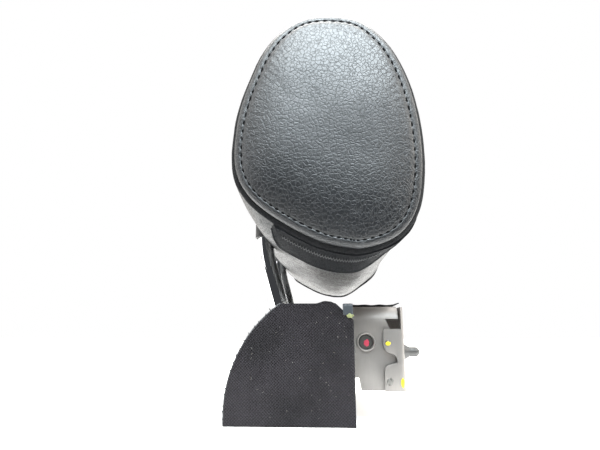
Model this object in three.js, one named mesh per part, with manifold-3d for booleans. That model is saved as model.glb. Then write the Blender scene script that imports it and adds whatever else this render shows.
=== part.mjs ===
// Folding rear headrest of a car: a leather pad on one bent chrome post rod, a quarter-round
// cover that turns with the posts, and the stamped steel bracket that they fold on.
import * as THREE from 'three';
import { mergeVertices } from 'three/addons/utils/BufferGeometryUtils.js';
import Module from 'manifold-3d';

const wasm = await Module();
wasm.setup();

// Driving dimensions, mm and degrees. Everything is drawn in side view: x is forward, y is up
// and z runs across, towards the near side. The origin is on the front plate's outer face.
const gap = 0.3; // between pieces that touch
const shaftClearance = 0.3;

// pad
const padDepth = 133; // front to back
const padHeight = 190;
const padWidth = 237; // seam to seam
const padBack = -120.5;
const padBottom = 51;
const padOutlineSteps = 56;
const leather = 3.2; // wrap, with its backing
const panelRise = 10; // crown of an end panel
const panelCrown = 24; // width of the crown's rounded edge
const panelEdge = 4.5;
const weltRadius = 1.8;
const flapThickness = 2;
const flapRear = -90;
const flapFront = -14;

// post rod
const postDiameter = 12;
const postSpacing = 117;
const postX = -102.4; // upright stretch below the pad
const postKneeY = 76.8; // where the post turns forward
const postLean = 15.6; // below the knee, degrees from upright
const kneeAboveCollar = 9.5;
const innerLean = 14; // inside the pad, degrees from upright
const crossbarRise = 57; // from the inner knee up to the crossbar
const crossbarBend = 25;
const collarWall = 1.7;
const collarLength = 16;
const collarSink = 3.5; // how far above the pad's underside a collar starts

// bracket
const bracketTop = 32;
const bracketBottom = -26.6;
const bracketRear = -37.5;
const bracketWall = 2;
const bracketBend = 12; // outer radius of the top bends
const cheekNotchY = -18;
const cheekNotchX = -32.6;
const frontWall = 2;
const frontCorner = 3; // outer radius where the front plate folds back
const earReach = 14.8;
const earTop = 15.5;
const bandReach = 5.5;
const windowTop = 22.6;
const windowSill = 14.1;
const windowRear = -12.7;
const studHeadRim = 1.3; // how far its head reaches past its foot
const studY = -0.6;
const studDiameter = 6.9;
const studReach = 12.2;
const studFlare = 6.3;
const stripThickness = 1.2;

// hinge and carriage
const pivotX = -26.9;
const pivotY = 6.5;
const shaftDiameter = 10;
const armWall = 2.6;
const armHalf = 9; // half height of a swing arm
const tubeY = -20;
const tubeRadius = 8;
const socketWall = 2.2;
const socketLength = 26;
const stopRadius = 3.5;
const stopAlong = 16; // from the pivot, along the arm
const collarDepth = 1.2; // drawn rim round the shaft's hole
const frictionWidth = 9;
const frictionRadius = 10;

// cover
const coverRadius = 87.4;
const coverCentreX = -36.7;
const coverCentreY = -39.1;
const coverTop = 32.5;
const coverBottom = -47;
const coverFront = -36.5;
const coverRoom = 20.1; // from a cheek to the outside of a cover plate
const coverWall = 2.5;
const coverPanelWall = 2;
const coverPanelFront = -52;
const coverCornerX = 12; // cut-off corner, front and top
const coverCornerY = 11.3;
const fabric = 0.8;
const clipWidth = 6.7;
const clipHeight = 8.2;

// Colours and surfaces
const looks = {
  leather: { color: 0x2e3136, roughness: 0.5, metalness: 0 },
  foam: { color: 0xc9c2ac, roughness: 0.95, metalness: 0 },
  chrome: { color: 0xe6eaee, roughness: 0.08, metalness: 1 },
  zinc: { color: 0xb4afa9, roughness: 0.45, metalness: 0.7 },
  steel: { color: 0x83807c, roughness: 0.4, metalness: 0.9 },
  fabric: { color: 0x38353a, roughness: 0.95, metalness: 0 },
  plastic: { color: 0x9aa0a4, roughness: 0.6, metalness: 0 },
  darkPlastic: { color: 0x1d1e20, roughness: 0.6, metalness: 0 },
  rubber: { color: 0x191919, roughness: 0.85, metalness: 0 },
};

const radians = THREE.MathUtils.degToRad;

function solidOf(geometry) {
  const bare = geometry.index ? geometry.toNonIndexed() : geometry.clone();
  bare.deleteAttribute('normal');
  bare.deleteAttribute('uv');
  const merged = mergeVertices(bare, 1e-4);
  const mesh = new wasm.Mesh({
    numProp: 3,
    vertProperties: new Float32Array(merged.attributes.position.array),
    triVerts: new Uint32Array(merged.index.array),
  });
  return new wasm.Manifold(mesh);
}

function geometryOf(solid) {
  const mesh = solid.getMesh();
  const geometry = new THREE.BufferGeometry();
  geometry.setAttribute('position', new THREE.BufferAttribute(new Float32Array(mesh.vertProperties), 3));
  geometry.setIndex(new THREE.BufferAttribute(new Uint32Array(mesh.triVerts), 1));
  return geometry;
}

function cutBy(geometry, cutters) {
  return geometryOf(cutters.reduce((solid, cutter) => solid.subtract(solidOf(cutter)), solidOf(geometry)));
}

function keepInside(geometry, limits) {
  return geometryOf(limits.reduce((solid, limit) => solid.intersect(solidOf(limit)), solidOf(geometry)));
}

// A shape with a hole needs its outline counterclockwise.
function shapeOf(points) {
  const corners = points.map(([x, y]) => new THREE.Vector2(x, y));
  return new THREE.Shape(THREE.ShapeUtils.isClockWise(corners) ? corners.reverse() : corners);
}

// A side-view shape, run across from one z to another.
function slab(shape, zLow, zHigh, curveSegments = 12) {
  const geometry = new THREE.ExtrudeGeometry(shape, {
    depth: zHigh - zLow,
    bevelEnabled: false,
    curveSegments,
  });
  return geometry.translate(0, 0, zLow);
}

function disc(x, y, radius) {
  const shape = new THREE.Shape();
  shape.absarc(x, y, radius, 0, Math.PI * 2, false);
  return shape;
}

// A bar across the object, standing on z = 0 of its own mesh.
function crossBar(radius, length, sides = 24) {
  return new THREE.CylinderGeometry(radius, radius, length, sides).rotateX(Math.PI / 2);
}

function mesh(name, geometry, look) {
  const made = new THREE.Mesh(geometry, new THREE.MeshStandardMaterial(looks[look]));
  made.name = name;
  return made;
}

function at(object, x, y, z) {
  object.position.set(x, y, z);
  return object;
}

const sides = [
  { label: 'near', sign: 1 },
  { label: 'far', sign: -1 },
];

// z limits of something on one side, given its distances from the middle plane
function across(sign, inner, outer) {
  return sign > 0 ? [inner, outer] : [-outer, -inner];
}

// Pad outline in side view: an egg, narrow and round on top, with its underside rising to the back.
const padForm = [
  [0.06, 1.0], [0.39, 0.947], [0.647, 0.762], [0.82, 0.525], [0.932, 0.256], [0.998, -0.113],
  [0.97, -0.488], [0.833, -0.715], [0.618, -0.884], [0.316, -0.995], [0, -0.974], [-0.316, -0.879],
  [-0.617, -0.747], [-0.842, -0.562], [-0.974, -0.335], [-0.992, -0.092], [-0.902, 0.224],
  [-0.759, 0.541], [-0.511, 0.836], [-0.241, 0.974],
];

function padOutline() {
  const knots = padForm.map(([u, v]) => new THREE.Vector3(
    padBack + (padDepth / 2) * (1 + u),
    padBottom + (padHeight / 2) * (1 + v),
    0,
  ));
  const curve = new THREE.CatmullRomCurve3(knots, true, 'centripetal');
  return curve.getSpacedPoints(padOutlineSteps).slice(0, padOutlineSteps).map((p) => [p.x, p.y]);
}

// Moves a clockwise outline inwards, or outwards with a negative distance.
function inset(outline, distance) {
  return outline.map(([x, y], i) => {
    const [px, py] = outline[(i + outline.length - 1) % outline.length];
    const [nx, ny] = outline[(i + 1) % outline.length];
    const length = Math.hypot(nx - px, ny - py);
    return [x + (distance * (ny - py)) / length, y - (distance * (nx - px)) / length];
  });
}

const outline = padOutline();

// Stations across the object, from the middle plane outwards
const postRadius = postDiameter / 2;
const armInner = postSpacing / 2 + postRadius + gap + socketWall + gap;
const cheekInner = armInner + armWall + gap + collarDepth;
const cheekOuter = cheekInner + bracketWall;
const studZ = cheekInner - studFlare - studHeadRim - gap;
const coverHalf = cheekOuter + coverRoom;

// The pad's underside where the posts go in, and the collars there
const underPost = outline.filter(([x, y]) => Math.abs(x - postX) < padDepth / 12 && y < padBottom + padHeight / 2);
const undersideY = underPost.reduce((sum, [, y]) => sum + y, 0) / underPost.length;
const collarLow = undersideY + collarSink;
const collarHigh = collarLow + collarLength;
const innerKneeY = collarHigh + kneeAboveCollar;
const crossbarY = innerKneeY + crossbarRise;

// Post rod: from one lower end up, over the crossbar in the pad, and down to the other end.
const leanSin = Math.sin(radians(postLean));
const leanCos = Math.cos(radians(postLean));
const tubeX = postX + (postKneeY - tubeY) * (leanSin / leanCos);
const footRise = tubeRadius + gap; // from the tube's axis to the post's lower end
const footX = tubeX - footRise * leanSin;
const footY = tubeY + footRise * leanCos;
const crossbarX = postX + (crossbarY - innerKneeY) * Math.tan(radians(innerLean));

function postPath() {
  const half = postSpacing / 2;
  const nearLeg = [
    new THREE.Vector3(footX, footY, half),
    new THREE.Vector3(postX, postKneeY, half),
    new THREE.Vector3(postX, innerKneeY, half),
    new THREE.Vector3(crossbarX, crossbarY, half),
  ];
  const farLeg = nearLeg.map((p) => new THREE.Vector3(p.x, p.y, -p.z)).reverse();
  const corners = [...nearLeg, ...farLeg];
  const easing = [0, 9, 7, crossbarBend, crossbarBend, 7, 9, 0]; // tangent length at each corner
  const path = new THREE.CurvePath();
  let from = corners[0];
  for (let i = 1; i < corners.length - 1; i += 1) {
    const into = corners[i].clone().sub(corners[i - 1]).normalize().multiplyScalar(easing[i]);
    const out = corners[i + 1].clone().sub(corners[i]).normalize().multiplyScalar(easing[i]);
    const start = corners[i].clone().sub(into);
    const end = corners[i].clone().add(out);
    path.add(new THREE.LineCurve3(from, start));
    path.add(new THREE.QuadraticBezierCurve3(start, corners[i], end));
    from = end;
  }
  path.add(new THREE.LineCurve3(from, corners[corners.length - 1]));
  return path;
}

function rodAlong(path, radius, steps, sidesRound) {
  const section = new THREE.Shape();
  section.absarc(0, 0, radius, 0, Math.PI * 2, false);
  return new THREE.ExtrudeGeometry(section, { steps, curveSegments: sidesRound, extrudePath: path });
}

// A straight round bar or hole that follows the posts where they lean forward.
function leanBar(radius, length) {
  return new THREE.CylinderGeometry(radius, radius, length, 20).rotateZ(radians(postLean));
}

function ring(innerRadius, outerRadius, length, sidesRound = 20) {
  const profile = [
    new THREE.Vector2(innerRadius, 0),
    new THREE.Vector2(outerRadius, 0),
    new THREE.Vector2(outerRadius, length),
    new THREE.Vector2(innerRadius, length),
    new THREE.Vector2(innerRadius, 0),
  ];
  return new THREE.LatheGeometry(profile, sidesRound);
}

// Pad

const collarInner = postRadius + gap;
const collarOuter = collarInner + collarWall;
const weltZ = padWidth / 2 - 2.5;
const weltInset = 1.2;
const panelInset = weltInset + weltRadius + 3 * gap;
const bandHalf = weltZ - weltRadius - gap;
const panelBack = padWidth / 2 - panelEdge;
const foamHalf = panelBack - gap;

function collarHole(sign, low) {
  const length = collarHigh + gap - low;
  const hole = new THREE.CylinderGeometry(collarOuter + gap, collarOuter + gap, length, 20);
  return hole.translate(postX, low + length / 2, sign * (postSpacing / 2));
}

function foamCore() {
  const block = slab(shapeOf(inset(outline, leather + gap)), -foamHalf, foamHalf);
  const tunnel = rodAlong(postPath(), postRadius + gap, 52, 6);
  return cutBy(block, [tunnel, ...sides.map((side) => collarHole(side.sign, padBottom - 10))]);
}

function wrapBand() {
  const shape = shapeOf(outline);
  shape.holes.push(shapeOf(inset(outline, leather)));
  const band = slab(shape, -bandHalf, bandHalf);
  return cutBy(band, sides.map((side) => collarHole(side.sign, padBottom - 10)));
}

// An end panel: full outline at its seam, rounding to a crown on the outside.
function endPanel(sign) {
  const crown = new THREE.ExtrudeGeometry(shapeOf(inset(outline, panelInset + panelCrown)), {
    depth: panelEdge,
    bevelThickness: panelRise,
    bevelSize: panelCrown,
    bevelSegments: 4,
    curveSegments: 1,
  });
  crown.translate(0, 0, -panelEdge / 2);
  const inner = new THREE.BoxGeometry(padDepth * 2, padHeight * 2, panelRise * 2);
  const innerZ = -sign * (panelEdge / 2 + panelRise);
  inner.translate(padBack + padDepth / 2, padBottom + padHeight / 2, innerZ);
  return cutBy(crown, [inner]);
}

function welt() {
  const seam = inset(outline, weltInset).map(([x, y]) => new THREE.Vector3(x, y, 0));
  const path = new THREE.CatmullRomCurve3(seam, true);
  return new THREE.TubeGeometry(path, padOutlineSteps, weltRadius, 6, true);
}

function undersideFlap() {
  const under = (points) => points.filter(([x, y]) => x > flapRear && x < flapFront && y < padBottom + padHeight / 4);
  const outside = under(inset(outline, -gap - flapThickness));
  const inside = under(inset(outline, -gap)).reverse();
  return slab(shapeOf([...outside, ...inside]), -bandHalf + gap, bandHalf - gap);
}

function buildPad() {
  const pad = new THREE.Group();
  pad.add(mesh('foam_core', foamCore(), 'foam'));
  pad.add(mesh('wrap_band', wrapBand(), 'leather'));
  pad.add(mesh('underside_flap', undersideFlap(), 'leather'));
  for (const { label, sign } of sides) {
    const panelZ = sign * (panelBack + panelEdge / 2);
    const collar = ring(collarInner, collarOuter, collarLength);
    pad.add(at(mesh(`end_panel_${label}`, endPanel(sign), 'leather'), 0, 0, panelZ));
    pad.add(at(mesh(`welt_${label}`, welt(), 'leather'), 0, 0, sign * weltZ));
    pad.add(at(mesh(`post_collar_${label}`, collar, 'darkPlastic'), postX, collarLow, sign * (postSpacing / 2)));
  }
  return pad;
}

// Bracket: a channel with its open side down, closed in front by a welded plate with two studs

const shaftRadius = shaftDiameter / 2;
const holeRadius = shaftRadius + shaftClearance;
const bracketFront = -frontCorner - gap;
const bracketLength = bracketFront - bracketRear;
const beyond = 20; // how far a cutter runs past what it cuts

// An upside-down U, drawn in (z, y) and run forward from the bracket's rear edge.
function channel() {
  const shape = new THREE.Shape();
  const bendZ = cheekOuter - bracketBend;
  const bendY = bracketTop - bracketBend;
  const innerBend = bracketBend - bracketWall;
  shape.moveTo(-cheekOuter, bracketBottom);
  shape.absarc(-bendZ, bendY, bracketBend, Math.PI, Math.PI / 2, true);
  shape.absarc(bendZ, bendY, bracketBend, Math.PI / 2, 0, true);
  shape.lineTo(cheekOuter, bracketBottom);
  shape.lineTo(cheekInner, bracketBottom);
  shape.absarc(bendZ, bendY, innerBend, 0, Math.PI / 2, false);
  shape.absarc(-bendZ, bendY, innerBend, Math.PI / 2, Math.PI, false);
  shape.lineTo(-cheekInner, bracketBottom);
  shape.closePath();
  return slab(shape, 0, bracketLength, 6).rotateY(Math.PI / 2).translate(bracketRear, 0, 0);
}

function throughBoth(shape) {
  return slab(shape, -cheekOuter - beyond, cheekOuter + beyond);
}

function windowShape() {
  const slant = (windowTop - windowSill) * 0.45;
  return shapeOf([
    [windowRear, windowTop],
    [beyond, windowTop],
    [beyond, windowSill],
    [windowRear + slant, windowSill],
  ]);
}

function notchShape() {
  const slant = 1.8;
  return shapeOf([
    [bracketRear - beyond, cheekNotchY],
    [cheekNotchX, cheekNotchY],
    [cheekNotchX + slant, bracketBottom - 1],
    [bracketRear - beyond, bracketBottom - 1],
  ]);
}

function housing() {
  const shaftHole = throughBoth(disc(pivotX, pivotY, holeRadius));
  const openChannel = cutBy(channel(), [throughBoth(windowShape()), throughBoth(notchShape())]);
  const rims = sides.map(({ sign }) => {
    const rim = crossBar(holeRadius + bracketWall, collarDepth + bracketWall / 2);
    return rim.translate(pivotX, pivotY, sign * (cheekInner - collarDepth / 2 + bracketWall / 4));
  });
  const joined = rims.reduce((solid, rim) => solid.add(solidOf(rim)), solidOf(openChannel));
  return cutBy(geometryOf(joined), [shaftHole]);
}

// Side view of the front plate: its thin upper edge, an ear, the band between, and a lower ear.
function frontPlateSide() {
  const shape = new THREE.Shape();
  shape.moveTo(beyond, bracketTop - 1);
  shape.lineTo(-frontWall, bracketTop - 1);
  shape.lineTo(-frontWall, earTop);
  shape.lineTo(-earReach + 2, earTop);
  shape.quadraticCurveTo(-earReach, earTop, -earReach, earTop - 3);
  shape.lineTo(-earReach, earTop - 10);
  shape.quadraticCurveTo(-earReach, -0.5, -bandReach - 3.5, -1.5);
  shape.quadraticCurveTo(-bandReach, -2, -bandReach, -7.5);
  shape.lineTo(-earReach + 3, -9.2);
  shape.quadraticCurveTo(-earReach, -10, -earReach, -14);
  shape.lineTo(-earReach, bracketBottom);
  shape.lineTo(beyond, bracketBottom);
  shape.closePath();
  return shape;
}

function frontPlate() {
  const wrap = new THREE.Shape();
  const outer = cheekOuter + gap + frontWall;
  const inner = cheekOuter + gap;
  const corner = frontCorner;
  wrap.moveTo(-earReach, -outer);
  wrap.lineTo(-corner, -outer);
  wrap.absarc(-corner, -outer + corner, corner, -Math.PI / 2, 0, false);
  wrap.lineTo(0, outer - corner);
  wrap.absarc(-corner, outer - corner, corner, 0, Math.PI / 2, false);
  wrap.lineTo(-earReach, outer);
  wrap.lineTo(-earReach, inner);
  wrap.lineTo(-corner, inner);
  wrap.absarc(-corner, outer - corner, corner - frontWall, Math.PI / 2, 0, true);
  wrap.lineTo(-frontWall, -outer + corner);
  wrap.absarc(-corner, -outer + corner, corner - frontWall, 0, -Math.PI / 2, true);
  wrap.lineTo(-earReach, -inner);
  wrap.closePath();
  const height = bracketTop - bracketBottom + beyond;
  const bent = slab(wrap, 0, height, 4).rotateX(-Math.PI / 2).translate(0, bracketBottom - beyond / 2, 0);
  const upright = keepInside(bent, [throughBoth(frontPlateSide())]);
  const holes = sides.map(({ sign }) => {
    const hole = new THREE.CylinderGeometry(studFlare + gap, studFlare + gap, beyond, 20);
    return hole.rotateZ(Math.PI / 2).translate(0, studY, sign * studZ);
  });
  return cutBy(upright, holes);
}

// A stud: head behind the plate, a foot that fills the plate's hole and flares down to the shank.
function stud() {
  const shank = studDiameter / 2;
  const head = studFlare + studHeadRim;
  const headFront = -frontWall - gap;
  const profile = [
    [0, headFront - 1.4], [head, headFront - 1.4], [head, headFront], [studFlare, headFront], [studFlare, 0.6],
    [studFlare - 0.6, 1.3], [shank + 0.4, 4.3], [shank, 5.3], [shank, studReach - 2.4],
    [shank - 0.8, studReach - 0.9], [shank - 2, studReach], [0, studReach],
  ];
  return new THREE.LatheGeometry(profile.map(([r, y]) => new THREE.Vector2(r, y)), 20).rotateZ(-Math.PI / 2);
}

// The arm points from the pivot to the carriage tube.
const armX = tubeX - pivotX;
const armY = tubeY - pivotY;
const armLength = Math.hypot(armX, armY);
const stopOffset = armHalf + stopRadius + gap;
const stopX = pivotX + (armX * stopAlong - armY * stopOffset) / armLength;
const stopY = pivotY + (armY * stopAlong + armX * stopOffset) / armLength;

function foldSpring() {
  const turns = 5;
  const wire = 1.2;
  const coil = shaftRadius + gap + wire;
  const pitch = 4;
  const points = [];
  const perTurn = 10;
  for (let i = 0; i <= turns * perTurn; i += 1) {
    const angle = (i / perTurn) * Math.PI * 2;
    points.push(new THREE.Vector3(coil * Math.cos(angle), coil * Math.sin(angle), (pitch * i) / perTurn));
  }
  return rodAlong(new THREE.CatmullRomCurve3(points), wire, turns * 14, 3);
}

function buildBracket() {
  const bracket = new THREE.Group();
  bracket.add(mesh('housing', housing(), 'zinc'));
  bracket.add(mesh('front_plate', frontPlate(), 'zinc'));
  const stripLength = -bracketRear + 1.5 - 2;
  const strip = new THREE.BoxGeometry(stripLength, stripThickness, (cheekOuter - bracketBend) * 2);
  const stripX = bracketRear + 2 + stripLength / 2;
  bracket.add(at(mesh('top_strip', strip, 'fabric'), stripX, bracketTop + gap + stripThickness / 2, 0));
  bracket.add(at(mesh('fold_spring', foldSpring(), 'steel'), pivotX, pivotY, 15));
  for (const { label, sign } of sides) {
    bracket.add(at(mesh(`stud_${label}`, stud(), 'steel'), 0, studY, sign * studZ));
    const stopLength = cheekInner - gap - armInner;
    const stopZ = sign * (armInner + stopLength / 2);
    bracket.add(at(mesh(`stop_${label}`, crossBar(stopRadius, stopLength), 'rubber'), stopX, stopY, stopZ));
  }
  return bracket;
}

// Carriage: the shaft, two swing arms and the tube that carries the posts

function swingArm(sign) {
  const shape = new THREE.Shape();
  const heading = Math.atan2(armY, armX);
  shape.absarc(pivotX, pivotY, armHalf, heading + Math.PI / 2, heading + Math.PI * 1.5, false);
  shape.absarc(tubeX, tubeY, armHalf, heading - Math.PI / 2, heading + Math.PI / 2, false);
  shape.closePath();
  shape.holes.push(disc(pivotX, pivotY, shaftRadius + gap));
  return slab(shape, ...across(sign, armInner, armInner + armWall));
}

function buildCarriage() {
  const carriage = new THREE.Group();
  const shaft = crossBar(shaftRadius, cheekOuter * 2 - 2);
  carriage.add(at(mesh('pivot_shaft', shaft, 'steel'), pivotX, pivotY, 0));
  carriage.add(at(mesh('cross_tube', crossBar(tubeRadius, (armInner - gap) * 2), 'steel'), tubeX, tubeY, 0));
  const standoffInner = armInner + armWall + gap;
  const standoffLength = coverHalf - coverWall - gap - standoffInner;
  const socketInner = postRadius + gap;
  const socketMiddle = footRise + socketLength / 2;
  for (const { label, sign } of sides) {
    carriage.add(mesh(`swing_arm_${label}`, swingArm(sign), 'steel'));
    const standoff = mesh(`standoff_${label}`, crossBar(tubeRadius - 2, standoffLength), 'darkPlastic');
    carriage.add(at(standoff, tubeX, tubeY, sign * (standoffInner + standoffLength / 2)));
    const pack = mesh(`friction_pack_${label}`, ring(shaftRadius + gap, frictionRadius, frictionWidth), 'steel');
    pack.rotation.x = Math.PI / 2;
    carriage.add(at(pack, pivotX, pivotY, sign > 0 ? armInner - gap - frictionWidth : -armInner + gap));
    const socket = ring(socketInner, socketInner + socketWall, socketLength).translate(0, -socketLength / 2, 0);
    const sleeve = mesh(`post_socket_${label}`, socket, 'steel');
    sleeve.rotation.z = radians(postLean);
    const up = [tubeX - socketMiddle * leanSin, tubeY + socketMiddle * leanCos];
    carriage.add(at(sleeve, up[0], up[1], (sign * postSpacing) / 2));
  }
  carriage.add(mesh('post_rod', rodAlong(postPath(), postRadius, 52, 6), 'chrome'));
  return carriage;
}

// Cover: two quarter-round side plates, the curved panel between them, and their fabric

function coverSide(margin) {
  const shape = new THREE.Shape();
  const radius = coverRadius - margin;
  const top = coverTop - margin;
  const bottom = coverBottom + margin;
  const front = coverFront - margin;
  const start = Math.PI - Math.asin((top - coverCentreY) / radius);
  const end = Math.PI + Math.asin((coverCentreY - bottom) / radius);
  shape.moveTo(front, bottom);
  shape.lineTo(front, top - coverCornerY);
  shape.lineTo(front - coverCornerX, top);
  shape.absarc(coverCentreX, coverCentreY, radius, start, end, false);
  shape.closePath();
  return shape;
}

// A strip of the cover's rim: flat on top, round behind, open in front and below.
function coverRim(outward, thickness) {
  const shape = new THREE.Shape();
  const outer = coverRadius + outward;
  const inner = outer - thickness;
  const top = coverTop + outward;
  const startOuter = Math.PI - Math.asin((top - coverCentreY) / outer);
  const startInner = Math.PI - Math.asin((top - thickness - coverCentreY) / inner);
  const endOuter = Math.PI + Math.asin((coverCentreY - coverBottom) / outer);
  const endInner = Math.PI + Math.asin((coverCentreY - coverBottom) / inner);
  shape.moveTo(coverPanelFront, top);
  shape.absarc(coverCentreX, coverCentreY, outer, startOuter, endOuter, false);
  shape.absarc(coverCentreX, coverCentreY, inner, endInner, startInner, true);
  shape.lineTo(coverPanelFront, top - thickness);
  shape.closePath();
  const half = coverHalf - coverWall - gap;
  const alongPost = (coverTop - tubeY) / leanCos;
  const holes = sides.map(({ sign }) => {
    const hole = leanBar(postRadius + 2, beyond * 2);
    return hole.translate(tubeX - alongPost * leanSin, coverTop, (sign * postSpacing) / 2);
  });
  return cutBy(slab(shape, -half, half, 10), holes);
}

function buildCover() {
  const cover = new THREE.Group();
  cover.add(mesh('cover_panel', coverRim(-fabric - gap, coverPanelWall), 'plastic'));
  cover.add(mesh('cover_panel_fabric', coverRim(0, fabric), 'fabric'));
  const plateInner = coverHalf - coverWall;
  const edgeMargin = 1;
  const clipTop = coverTop - 0.3;
  for (const { label, sign } of sides) {
    const plate = slab(coverSide(0), ...across(sign, plateInner, coverHalf));
    const skin = slab(coverSide(edgeMargin), ...across(sign, coverHalf + gap, coverHalf + gap + fabric));
    const clip = new THREE.BoxGeometry(clipWidth, clipHeight, coverWall * 1.6);
    const clipZ = sign * (plateInner - gap - coverWall * 0.8);
    cover.add(mesh(`cover_side_${label}`, plate, 'plastic'));
    cover.add(mesh(`side_fabric_${label}`, skin, 'fabric'));
    cover.add(at(mesh(`clip_${label}`, clip, 'plastic'), coverFront - 0.4 - clipWidth / 2, clipTop - clipHeight / 2, clipZ));
  }
  return cover;
}

// Side view stands upright: y becomes z, and the near side faces -y.
const headrest = new THREE.Group();
headrest.rotation.x = Math.PI / 2;
headrest.add(buildBracket(), buildCarriage(), buildCover(), buildPad());

export default headrest;
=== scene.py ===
import random
from math import asin, copysign, cos, exp, pi, radians, sin, sqrt, tan

import bmesh
import bpy
import numpy as np
from mathutils import Matrix, Vector, noise


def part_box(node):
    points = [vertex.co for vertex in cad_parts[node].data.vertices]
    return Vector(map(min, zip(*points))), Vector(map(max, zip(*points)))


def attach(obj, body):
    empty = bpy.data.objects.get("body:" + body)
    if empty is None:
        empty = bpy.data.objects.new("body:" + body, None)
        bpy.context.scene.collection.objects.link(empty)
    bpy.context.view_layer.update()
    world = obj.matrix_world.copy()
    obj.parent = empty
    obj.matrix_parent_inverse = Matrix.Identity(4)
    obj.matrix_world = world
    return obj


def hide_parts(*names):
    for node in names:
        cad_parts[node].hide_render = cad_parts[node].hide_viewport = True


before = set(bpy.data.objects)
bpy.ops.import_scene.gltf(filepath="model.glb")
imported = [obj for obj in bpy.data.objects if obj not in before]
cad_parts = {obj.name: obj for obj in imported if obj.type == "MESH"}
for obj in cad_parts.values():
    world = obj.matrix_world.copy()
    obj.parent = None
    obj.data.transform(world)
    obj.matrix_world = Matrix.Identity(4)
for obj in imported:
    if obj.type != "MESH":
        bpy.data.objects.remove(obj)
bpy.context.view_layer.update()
print("frame loaded:", len(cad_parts), "nodes")

mm = 0.001


camera = {
    "place": (-0.0566, -0.4085, 0.0108),
    "right": (0.9986, 0.0523, 0.0),
    "up": (0.0125, -0.2382, 0.9711),
    "ahead": (-0.0508, 0.9698, 0.2385),
    "lens": 27.06,
    "sensor": 36,
    "nearest": 0.01,
}

floorSheet = {
    "height": -0.0471,
    "side": 7.0,
    "front": -0.2,  # nearer than this it would only light the pad from below
    "back": 9.0,
    "steps": 12,
}

lights = {
    "key": {"from": (0.06, -0.95, 1.26), "to": (-0.06, -0.12, 0.17), "size": (1.35, 0.66),
            "power": 47, "tint": (0.83, 0.94, 1.0)},
    "side": {"from": (1.3, -0.3, 0.75), "to": (-0.03, -0.05, 0.1), "size": (0.7, 0.7),
             "power": 7, "tint": (1.0, 0.96, 0.88)},
    "card": {"from": (-1.3, -0.45, 0.28), "to": (-0.1, -0.06, 0.06), "size": (0.6, 0.6),
             "power": 3, "tint": (1.0, 1.0, 1.0)},
    "top": {"from": (-0.1, 0.35, 1.5), "to": (-0.05, 0.0, 0.1), "size": (1.2, 1.2),
            "power": 50, "tint": (1.0, 0.985, 0.955)},
}

roomLight = {
    "bright": (1.7, 1.66, 1.59),
    "dark": (0.05, 0.052, 0.056),
    "tilt": 1.7,  # how soon it brightens with height, in front
    "darkTo": -0.3, "brightFrom": 0.8,  # along Y, from the front to the back of the room
    "seen": (1.0, 1.0, 1.0),
}


def placeCamera():
    data = bpy.data.cameras.new("camera")
    data.lens = camera["lens"]
    data.sensor_width = camera["sensor"]
    data.clip_start = camera["nearest"]
    obj = bpy.data.objects.new("camera", data)
    right, up, ahead = (Vector(camera[k]).normalized() for k in ("right", "up", "ahead"))
    turn = Matrix((right, up, -ahead)).transposed().to_4x4()
    obj.matrix_world = Matrix.Translation(camera["place"]) @ turn
    bpy.context.scene.collection.objects.link(obj)
    bpy.context.scene.camera = obj


def placeLights():
    for name, lamp in lights.items():
        data = bpy.data.lights.new(name, "AREA")
        data.shape = "RECTANGLE"
        data.size, data.size_y = lamp["size"]
        data.energy = lamp["power"]
        data.color = lamp["tint"]
        obj = bpy.data.objects.new(name, data)
        obj.location = lamp["from"]
        look = Vector(lamp["to"]) - Vector(lamp["from"])
        obj.rotation_euler = look.to_track_quat("-Z", "Y").to_euler()
        obj.visible_camera = False
        bpy.context.scene.collection.objects.link(obj)


def addNode(tree, kind):
    return tree.nodes.new("ShaderNode" + kind)


def lightRoom():
    # bright behind and overhead, dark low in front, plain white where the camera sees it
    world = bpy.data.worlds.new("room")
    bpy.context.scene.world = world
    world.use_nodes = True
    tree = world.node_tree
    tree.nodes.clear()
    coord = addNode(tree, "TexCoord")
    split = addNode(tree, "SeparateXYZ")
    raised = addNode(tree, "Math")
    raised.operation = "MULTIPLY_ADD"
    raised.inputs[1].default_value = roomLight["tilt"]
    spread = addNode(tree, "MapRange")
    spread.inputs["From Min"].default_value = roomLight["darkTo"]
    spread.inputs["From Max"].default_value = roomLight["brightFrom"]
    mix = addNode(tree, "Mix")
    mix.data_type = "RGBA"
    mix.inputs["A"].default_value = (*roomLight["dark"], 1)
    mix.inputs["B"].default_value = (*roomLight["bright"], 1)
    around = addNode(tree, "Background")
    seen = addNode(tree, "Background")
    seen.inputs["Color"].default_value = (*roomLight["seen"], 1)
    path = addNode(tree, "LightPath")
    blend = addNode(tree, "MixShader")
    out = addNode(tree, "OutputWorld")
    link = tree.links.new
    link(coord.outputs["Generated"], split.inputs[0])
    link(split.outputs["Z"], raised.inputs[0])
    link(split.outputs["Y"], raised.inputs[2])
    link(raised.outputs[0], spread.inputs["Value"])
    link(spread.outputs["Result"], mix.inputs["Factor"])
    link(mix.outputs["Result"], around.inputs["Color"])
    link(path.outputs["Is Camera Ray"], blend.inputs["Fac"])
    link(around.outputs[0], blend.inputs[1])
    link(seen.outputs[0], blend.inputs[2])
    link(blend.outputs[0], out.inputs["Surface"])


placeCamera()
placeLights()
lightRoom()
bpy.context.scene.view_settings.view_transform = "Standard"
print("camera and light placed")


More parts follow.
